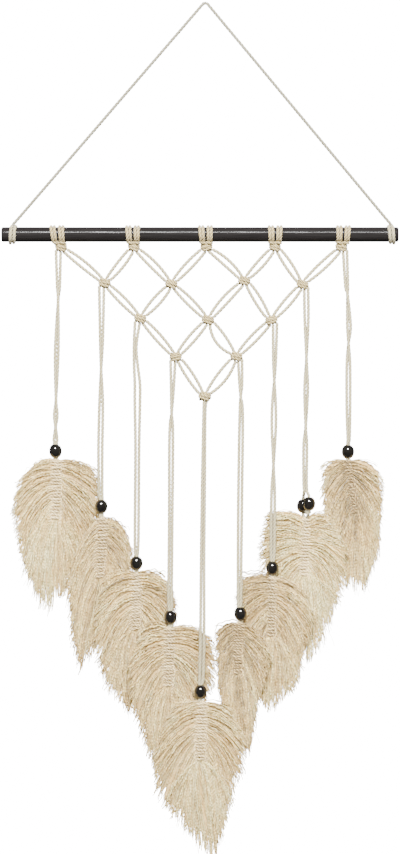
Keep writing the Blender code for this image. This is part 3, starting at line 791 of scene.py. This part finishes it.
def tail_path(tail, strand):
    """One cord of a pair: its knot, its bead, then the top of its fringe."""
    name, row, column, first, bead_x, bead_drop = tail
    path = [knot_port(row, column, KNOT_FOOT, first + (strand > 0))]
    spine_top = next(spine[2] for spine in SPINES if spine[0] == name)
    for drop, x, spacing, degrees in TWISTS[name]:
        turn = math.radians(degrees)
        shift = 0.5 * spacing * strand
        path.append(at(x + shift * math.cos(turn), shift * math.sin(turn), drop))
    offset = np.array((math.cos(turn), math.sin(turn), 0.0)) * NECK_OFFSET * strand
    middle = at(bead_x, 0.0, bead_drop) + offset
    if name == SPLIT_TAIL:
        middle = at(*SPLIT_BEADS[strand > 0][1:])
    half = at(0.0, 0.0, 0.5 * BEAD_HEIGHT)
    end = at(bead_x, 0.0, spine_top + TAIL_SINK) + offset
    return path + [middle - half, middle + half, end]


def wrap_path(top_x, knot_drop, foot_x):
    """One cord up behind the rod, over it and down its front, to the knot."""
    radius = 0.5 * (ROD_DIAMETER + WRAP_CORD)
    lap = 360.0 - 2.0 * WRAP_LEAVE_ANGLE
    path = [at(foot_x, WRAP_FOOT_Y, knot_drop - WRAP_FOOT_RISE)]
    for k in range(WRAP_POINTS + 1):
        turn = math.radians(WRAP_LEAVE_ANGLE + lap * k / WRAP_POINTS)
        x = top_x + (foot_x - top_x) * WRAP_LEAN * (0.5 + 0.5 * math.cos(turn))
        drop = ROD_DROP + (radius - WRAP_SINK) * math.cos(turn)
        path.append(at(x, radius * math.sin(turn), drop))
    path.append(at(foot_x, -WRAP_FOOT_Y, knot_drop - WRAP_FOOT_RISE))
    return path


def add_wraps(yarn, rng):
    """Lark's heads: two doubled cords a group, each with its cross bar."""
    for group_x, (knot_x, drop) in zip(GROUP_X, KNOT_ROWS[0]):
        for shift in WRAP_SHIFTS:
            path = wrap_path(group_x + shift, drop, knot_x + WRAP_SQUEEZE * shift)
            start = rng.uniform(0.0, math.tau)
            yarn.rope(smooth(path, WRAP_STEP), WRAP_CORD, PLY_FINE, start=start)
        for pair in (-1, 1):
            middle = 0.5 * group_x + 0.5 * knot_x + pair * CROSS_BAR_X
            path = [at(middle + x, y, ROD_DROP + CROSS_BAR_DROP - rise) for x, y, rise in CROSS_BAR]
            start = rng.uniform(0.0, math.tau)
            yarn.rope(smooth(path, KNOT_STEP), HITCH_CORD, PLY_FINE, start=start)


def add_knots(yarn, rng):
    """Square knots: two working cords round a core of two."""
    for row in KNOT_ROWS:
        size = FIRST_KNOT_SIZE if row is KNOT_ROWS[0] else 1.0
        for x, drop in row:
            flip = 1.0 if rng.random() < KNOT_FLIP_SHARE else -1.0
            tilt = rng.uniform(*KNOT_TILT)
            for cord in (KNOT_OVER, KNOT_UNDER):
                path = []
                for dx, dy, rise in cord:
                    jitter = rng.normal(0.0, KNOT_JITTER, 3)
                    point = at(x + flip * size * dx, dy, drop - size * rise - tilt * dx)
                    path.append(point + jitter)
                start = rng.uniform(0.0, math.tau)
                yarn.rope(smooth(path, KNOT_STEP), KNOT_CORD, PLY_FINE, start=start)
            for shift in KNOT_CORE_X:
                core = [at(x + shift, 0.0, drop + below) for below in KNOT_CORE_DROPS]
                start = rng.uniform(0.0, math.tau)
                yarn.rope(smooth(core, KNOT_CORE_STEP), KNOT_CORD, PLY_FINE, start=start)


def build_net(run_material, knot_material, rng):
    runs = Tubes()
    add_links(runs, rng)
    for tail in TAILS:
        for strand in (-1, 1):
            path = smooth(tail_path(tail, strand), RUN_STEP)
            runs.rope(path, TAIL_CORD, start=rng.uniform(0.0, math.tau))
    coil = []
    x, y, top = COIL_PLACE
    for k in range(COIL_STEPS + 1):
        turn = math.tau * COIL_TURNS * k / COIL_STEPS
        coil.append(at(x + COIL_RADIUS * math.cos(turn), y + COIL_RADIUS * math.sin(turn),
                       top + COIL_HEIGHT * k / COIL_STEPS))
    runs.rope(smooth(coil, WRAP_STEP), COIL_CORD)
    runs.finish("plied_cords", run_material, "cord", "net")
    knots = Tubes()
    add_wraps(knots, rng)
    add_knots(knots, rng)
    knots.finish("plied_knots", knot_material, "cord", "net")


# Fringes


class Fringe:
    """A spine of knotted rows with brushed yarn out of both its sides."""

    def __init__(self, name, x, drop, length, lean, plane):
        self.name, self.plane = name, plane
        self.x, self.drop, self.length, self.lean = x, drop, length, lean
        self.rng = np.random.default_rng(SEED + int(name))

    def spine_x(self, drop):
        return self.x + self.lean * (drop - self.drop)

    def depth(self, x, drop):
        """How far back the fringe's flat form lies at a place."""
        across = x - self.spine_x(drop)
        if self.plane == 0:
            return -FAN_SLOPE * np.abs(across)
        return self.plane * FAN_SLOPE * across

    def outline(self, side, share):
        """Points of the tips' outline at shares of its length."""
        corners = np.array(TIP_OUTLINES[self.name, side])
        marks = distances(corners)
        marks /= marks[-1]
        return np.stack([np.interp(share, marks, corners[:, k]) for k in (0, 1)], axis=-1)

    def rib(self, side, t, v, tip_place=None):
        """Points in (x, drop) at v out to the tips on the rib of each t."""
        root_drop = self.drop + self.length * t
        root = np.stack((self.spine_x(root_drop) + side * YARN_ROOT, root_drop), axis=-1)
        if tip_place is None:
            tip_place = np.power(t, TIP_GATHER.get((self.name, side), 1.0))
        tip = self.outline(side, tip_place)
        chord = (tip - root) / 3.0
        droop = math.radians(DROOP) * chord[..., 0] / np.linalg.norm(chord, axis=-1)
        splay = math.radians(ROOT_SPLAYS.get((self.name, side), ROOT_SPLAY))
        leave = turned(chord, -droop - side * splay)
        arrive = turned(chord, droop)
        return bezier(root, root + leave, tip - arrive, tip, v[..., None])

    def reaches(self, lock, locks, reach):
        """How far each strand goes along its rib, by its lock and by itself."""
        rng = self.rng
        count = len(lock)
        of_locks, short_share, short, full = reach
        lock_reach = rng.normal(*of_locks, locks)
        own_reach = np.where(rng.random(count) < short_share,
                             rng.uniform(*short, count), rng.normal(*full, count))
        return lock_reach[lock] * own_reach

    def side_strands(self, side, count, rings):
        """Strands grown from the rows' ends, a lock to each cord end."""
        rng = self.rng
        lock = rng.integers(0, 2 * SPINE_ROWS, count)
        row = (lock // 2 + 0.5) / SPINE_ROWS
        spread = rng.normal(0.0, LOCK_SPREAD, count) / SPINE_ROWS
        reach = self.reaches(lock, 2 * SPINE_ROWS, SIDE_REACH)
        v = np.linspace(0.0, 1.0, rings) * reach[:, None]
        at_root, more_at_tip = SIDE_SPREAD
        t = row[:, None] + spread[:, None] * (at_root + more_at_tip * v)
        path = self.rib(side, np.clip(t, 0.0, 1.0), v)
        path[..., 1] += np.minimum(t, 0.0) * self.length
        return path, v, lock, np.where(lock % 2 == 0, -1.0, 1.0)

    def foot_strands(self, count, rings):
        """Strands that hang out of the spine's foot and fan over the lower outline."""
        rng = self.rng
        w = rng.random(count)
        lock = (w * FOOT_LOCKS).astype(int)
        reach = self.reaches(lock, FOOT_LOCKS, FOOT_REACH)
        v = np.linspace(0.0, 1.0, rings) * reach[:, None]
        ones = np.ones_like(v)
        fan = np.abs(2.0 * w - 1.0) ** FOOT_FAN_POWER
        place = 1.0 - FOOT_FAN * fan[:, None] * ones
        left, right = self.rib(-1, ones, v, place), self.rib(1, ones, v, place)
        blend = np.clip((w - 0.5) / FOOT_BLEND + 0.5, 0.0, 1.0)[:, None, None]
        path = left + (right - left) * blend
        return path, v, 2 * SPINE_ROWS + lock, rng.choice((-1.0, 1.0), count)

    def sway(self, v, phase, wave):
        """How far strands wander sideways: their crimp, slow drifts and shifted roots."""
        rng = self.rng
        count = len(v)
        size, waves = SLOW_DRIFT
        drift = rng.normal(0.0, size, count)[:, None] * np.sin(
            waves * v + rng.uniform(0, 3, count)[:, None])
        for waves in QUICK_DRIFTS:
            drift += rng.normal(0.0, QUICK_DRIFT, count)[:, None] * np.sin(waves * v + phase)
        stray = np.where(rng.random(count) < STRAY_SHARE, STRAY_GAIN, 1.0)[:, None]
        start = rng.uniform(-ROOT_SHIFT, ROOT_SHIFT, count)[:, None] * (1.0 - v)
        return wave * np.minimum(1.0, 6.0 * v) + drift * v * stray * DRIFT_GAIN + start

    def tones(self, outer, lock, share, travelled, phase):
        """Painted light on top and painted shade deep down, uneven by strand, lock and length."""
        rng = self.rng
        count = len(outer)
        darker, lighter, foot_lighter, tips_lighter, _ = LOOKS[self.name]
        tone = DEEP_SHADED_TONE + TOP_LIT_TONE * outer + rng.normal(0.0, STRAND_TONE_SPREAD, count) - darker
        tone += LOCK_TONE_SPREAD * rng.normal(0.0, 1.0, LOCK_DRAWS)[lock] + lighter
        tone += foot_lighter * (lock >= 2 * SPINE_ROWS)
        lengths = rng.uniform(*DAPPLE_LENGTHS, count)[:, None]
        dapple = np.sin(math.tau * travelled / lengths + 5.0 * phase)
        tones = tone[:, None] + DAPPLE * dapple + tips_lighter * (share - 0.5)
        return np.clip(tones, 0.0, 1.0)

    def grow(self, yarn, strands, rings, root_radius, tip_radius, crimp, crimp_length):
        """One kind of yarn out of both sides and the foot of the spine."""
        rng = self.rng
        foot = int(strands * FOOT_SHARE)
        half = (strands - foot) // 2
        batches = [self.side_strands(side, half, rings) for side in (-1, 1)]
        batches.append(self.foot_strands(foot, rings))
        path, v, lock, layer = (np.concatenate(parts) for parts in zip(*batches))
        count = len(path)
        travelled = distances(path)
        tangent = unit(np.gradient(path, axis=1))
        sideways = np.stack((-tangent[..., 1], tangent[..., 0]), axis=-1)
        phase = rng.uniform(0.0, math.tau, LOCK_DRAWS)[lock] + rng.normal(0.0, 0.5, count)
        phase = phase[:, None]
        turns = math.tau * travelled / crimp_length + phase
        path = path + sideways * self.sway(v, phase, crimp * np.sin(turns))[..., None]
        share = np.minimum(v, 1.0)
        at_ends, more_inside = BULK
        bulk = at_ends + more_inside * np.sin(math.pi * share ** 0.8)
        lay = layer * LAYER_Y + rng.uniform(-LAYER_SPREAD, LAYER_SPREAD, count)
        y = self.depth(path[..., 0], path[..., 1]) + lay[:, None] * bulk
        y = y + 0.5 * crimp * np.cos(turns)
        points = np.stack((path[..., 0], y, -path[..., 1]), axis=-1)
        radii = root_radius + (tip_radius - root_radius) * share ** 3
        radii = radii * rng.uniform(*STRAND_SIZES, count)[:, None]
        # Strands in the outer layers get a higher tone than deep ones: painted light on top and
        # painted shade deep down.
        outer = np.abs(lay) / (LAYER_Y + LAYER_SPREAD)
        tones = self.tones(outer, lock, share, travelled, phase)
        crimps = math.tau * travelled / CRIMP_LENGTH + 3.0 * phase
        yarn.fibres(points, radii, tones, crimps, rng)

    def add_lock(self, yarn, first, last, tones):
        """A flat tapered lock between two edges given as ring and (x, drop)."""
        share = np.linspace(0.0, 1.0, MASS_RINGS)
        narrow = 0.5 * (MASS_NARROWING * share ** MASS_NARROW_POWER)[:, None]
        edges = first + (last - first) * narrow, last + (first - last) * narrow
        root, middle, tip = MASS_THICKNESS
        thick = root * (1 - share) ** 2 + 2 * middle * share * (1 - share) + tip * share ** 2
        turn = math.tau * np.arange(MASS_SIDES) / MASS_SIDES
        across = 0.5 + 0.5 * np.cos(turn)
        flat = edges[0][:, None] + (edges[1] - edges[0])[:, None] * across[:, None]
        y = self.depth(flat[..., 0], flat[..., 1]) + thick[:, None] * np.sin(turn)
        rings = np.stack((flat[..., 0], y, -flat[..., 1]), axis=-1)
        yarn.add(rings[None], tone=self.rng.uniform(*tones))

    def add_mass(self, yarn):
        """Overlapping flat locks in low tones that close the gaps between the strands: painted
        shade under them.
        """
        v = np.linspace(0.0, MASS_REACH, MASS_RINGS)
        foot_v = np.linspace(0.0, MASS_FOOT_REACH, MASS_RINGS)
        half = MASS_OVERLAP / SPINE_ROWS
        for side in (-1, 1):
            for row in range(SPINE_ROWS):
                t = (row + 0.5) / SPINE_ROWS
                reach = v * self.rng.uniform(*MASS_REACHES)
                first = self.rib(side, np.full(MASS_RINGS, max(0.0, t - half)), reach)
                last = self.rib(side, np.full(MASS_RINGS, min(1.0, t + half)), reach)
                self.add_lock(yarn, first, last, MASS_SHADED_TONES)
        ones = np.ones(MASS_RINGS)
        left, right = self.rib(-1, ones, foot_v), self.rib(1, ones, foot_v)
        for lock in range(MASS_FOOT_LOCKS):
            near = max(0.0, (lock - MASS_FOOT_OVERLAP) / MASS_FOOT_LOCKS)
            far = min(1.0, (lock + 1.0 + MASS_FOOT_OVERLAP) / MASS_FOOT_LOCKS)
            first, last = left + (right - left) * near, left + (right - left) * far
            self.add_lock(yarn, first, last, MASS_FOOT_SHADED_TONES)

    def add_spine(self, yarn):
        """Rows of cord from alternate sides, each folded round the middle pair."""
        pitch = self.length / SPINE_ROWS
        darker, *_, width = LOOKS[self.name]
        for row in range(SPINE_ROWS):
            drop = self.drop + pitch * (row + 0.5)
            side = 1 if row % 2 else -1
            tilt = self.rng.normal(*BAR_TILT)
            path = []
            for v, y in BAR_RUN_IN:
                px, run_drop = self.rib(-side, np.array((row + 0.5) / SPINE_ROWS), np.array(v))
                path.append(at(px, y + self.depth(px, run_drop), run_drop))
            for x, y in BAR + tuple((x, -y) for x, y in BAR[-2::-1]):
                px = self.spine_x(drop) + side * x * width
                jitter = self.rng.normal(0.0, BAR_JITTER, 3)
                path.append(at(px, y + self.depth(px, drop), drop + tilt * x) + jitter)
            diameter = SPINE_CORD * self.rng.uniform(*BAR_SIZES)
            start = self.rng.uniform(0.0, math.tau)
            shade = SPINE_SHADE_GAIN * darker + self.rng.uniform(*BAR_SHADES)
            yarn.rope(smooth(path, RUN_STEP), diameter, start=start, taper=BAR_TAPER, shade=shade)
        above, below = SPINE_CORE_ENDS
        for shift in SPINE_CORE_X:
            drops = np.linspace(self.drop - above, self.drop + self.length + below, 6)
            core = [at(self.spine_x(drop) + shift, 0.0, drop) for drop in drops]
            yarn.rope(smooth(core, SPINE_CORE_STEP), NET_CORD)

    def build(self, yarn_material, cord):
        yarn = Tubes()
        self.add_mass(yarn)
        for kind in YARNS:
            self.grow(yarn, *kind)
        yarn.finish("brushed_fringe_" + self.name, yarn_material, "fringe", "fringe_" + self.name)
        spine = Tubes()
        self.add_spine(spine)
        spine.finish("knotted_spine_" + self.name, cord, "fringe", "fringe_" + self.name)


def turned(vectors, angles):
    """Vectors in (x, drop) turned by angles."""
    cosine, sine = np.cos(angles), np.sin(angles)
    x, drop = vectors[..., 0], vectors[..., 1]
    return np.stack((x * cosine - drop * sine, x * sine + drop * cosine), axis=-1)


# Studio


def add_area(name, light):
    """An area light that faces the middle of the picture."""
    place_at, size, power = light
    data = bpy.data.lights.new(name, "AREA")
    data.shape = "RECTANGLE"
    data.size, data.size_y = size
    data.energy = power
    item = add_object(name, data)
    item.location = place_at
    middle = (PICTURE_MIDDLE[0] * MM, 0.0, -PICTURE_MIDDLE[1] * MM)
    direction = Vector(middle) - item.location
    item.rotation_euler = direction.to_track_quat("-Z", "Y").to_euler()
    return item


def add_world():
    """A white backdrop whose light on the object is dimmer than its own white."""
    world = bpy.data.worlds.new("studio")
    bpy.context.scene.world = world
    world.use_nodes = True
    tree = world.node_tree
    background = tree.nodes["Background"]
    background.inputs["Color"].default_value = (1.0, 1.0, 1.0, 1.0)
    rays = tree.nodes.new("ShaderNodeLightPath")
    light = tree.nodes.new("ShaderNodeMapRange")
    light.inputs["To Min"].default_value = WORLD_LIGHT
    light.inputs["To Max"].default_value = WORLD_GLOSS
    tree.links.new(rays.outputs["Is Glossy Ray"], light.inputs["Value"])
    strength = tree.nodes.new("ShaderNodeMapRange")
    strength.inputs["To Max"].default_value = BACKDROP_WHITE
    tree.links.new(rays.outputs["Is Camera Ray"], strength.inputs["Value"])
    tree.links.new(light.outputs["Result"], strength.inputs["To Min"])
    tree.links.new(strength.outputs["Result"], background.inputs["Strength"])


def add_studio():
    add_world()
    add_area("key", KEY_LIGHT)
    fill = add_area("fill", FILL_LIGHT)
    fill.visible_glossy = False
    add_area("back", BACK_LIGHT)
    mesh = bpy.data.meshes.new("floor")
    half, level = FLOOR_HALF, -FLOOR_DROP * MM
    mesh.from_pydata([(-half, -half, level), (half, -half, level), (half, half, level),
                      (-half, half, level)], [], [(0, 1, 2, 3)])
    shader = Shader("pale floor")
    shader.settle(Base_Color=(0.95, 0.95, 0.95, 1.0), Roughness=0.9,
                  Emission_Color=(1.0, 1.0, 1.0, 1.0), Emission_Strength=FLOOR_GLOW)
    mesh.materials.append(shader.material)
    floor = add_object("floor", mesh)
    floor.visible_diffuse = False
    floor.visible_glossy = False


def add_camera():
    data = bpy.data.cameras.new("camera")
    data.sensor_fit = "VERTICAL"
    data.sensor_height = SENSOR
    data.lens = SENSOR * CAMERA_DISTANCE / (PICTURE_HEIGHT * PIXEL)
    data.clip_end = CLIP_END
    camera = add_object("camera", data)
    x, drop = PICTURE_MIDDLE
    camera.location = (x * MM, -CAMERA_DISTANCE * MM, -drop * MM)
    camera.rotation_euler = (math.radians(90.0), 0.0, 0.0)
    bpy.context.scene.camera = camera


def main():
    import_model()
    rng = np.random.default_rng(SEED)
    # The runs' cotton is greyer and dimmer at the crest than the knots': painted shade of thin
    # round cords.
    run = cord_material("plied cotton runs", (0.27, 0.21, 0.10), (0.43, 0.37, 0.21),
                        (0.50, 0.455, 0.285))
    hanging = cord_material("plied hanging cord", (0.16, 0.14, 0.08), (0.25, 0.23, 0.155),
                            (0.30, 0.285, 0.21))
    knots = cord_material("plied cotton knots", (0.12, 0.07, 0.025), (0.38, 0.29, 0.12),
                          (0.62, 0.51, 0.26))
    spine = cord_material("plied cotton spine", (0.17, 0.105, 0.04), (0.60, 0.43, 0.195),
                          (0.97, 0.78, 0.43))
    fringe = fringe_material()
    build_rod(rod_material())
    build_hanger(hanging, run)
    build_net(run, knots, rng)
    build_beads(bead_material())
    for row in SPINES:
        Fringe(*row).build(fringe, spine)
    add_studio()
    add_camera()


main()
